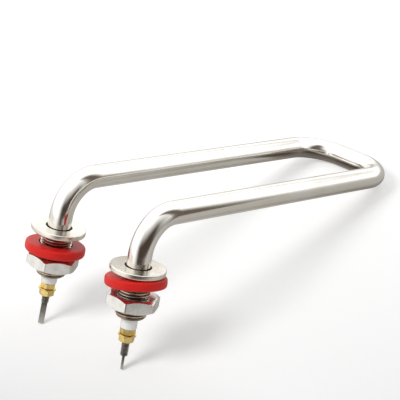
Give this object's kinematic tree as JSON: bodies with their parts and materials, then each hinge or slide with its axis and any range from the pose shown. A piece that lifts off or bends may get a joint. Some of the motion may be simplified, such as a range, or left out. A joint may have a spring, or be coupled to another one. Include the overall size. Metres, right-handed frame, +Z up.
{
  "type": "tubular heating element",
  "caption": "U-shaped sheathed heating element with turned-down legs, each with a flange, gasket, threaded shank, lock nut and a stud terminal.",
  "frame": {"origin": "bottom centre of the bounding box, on the surface the element rests on", "axes": "+X from the terminals towards the U-bend, +Y across the two legs to the left one, +Z up as it lies on a table"},
  "size_m": [0.2246, 0.0879, 0.0755],
  "materials": {
    "stainless_tube": "polished stainless steel",
    "fitting_steel": "turned stainless steel, heat-tinted brown in places",
    "plated_steel": "satin nickel plating",
    "red_silicone": "satin moulded silicone",
    "white_ceramic": "glazed",
    "brass": "machined",
    "terminal_steel": "dull plated steel",
    "seal_silicone": "matt silicone",
    "magnesia": "pressed powder",
    "coil_alloy": "drawn resistance wire"
  },
  "bodies": {
    "root": {"sheath_tube": "stainless_tube", "resistance_coil": "coil_alloy", "magnesia_fill": "magnesia", "right_terminal_pin": "terminal_steel", "right_tank_fitting": "fitting_steel", "right_gasket": "red_silicone", "right_lock_nut": "plated_steel", "right_end_seal": "seal_silicone", "right_ceramic_bush": "white_ceramic", "right_inner_nut": "brass", "right_lug_washer": "brass", "right_outer_nut": "brass", "left_terminal_pin": "terminal_steel", "left_tank_fitting": "fitting_steel", "left_gasket": "red_silicone", "left_lock_nut": "plated_steel", "left_end_seal": "seal_silicone", "left_ceramic_bush": "white_ceramic", "left_inner_nut": "brass", "left_lug_washer": "brass", "left_outer_nut": "brass"}
  },
  "joints": []
}
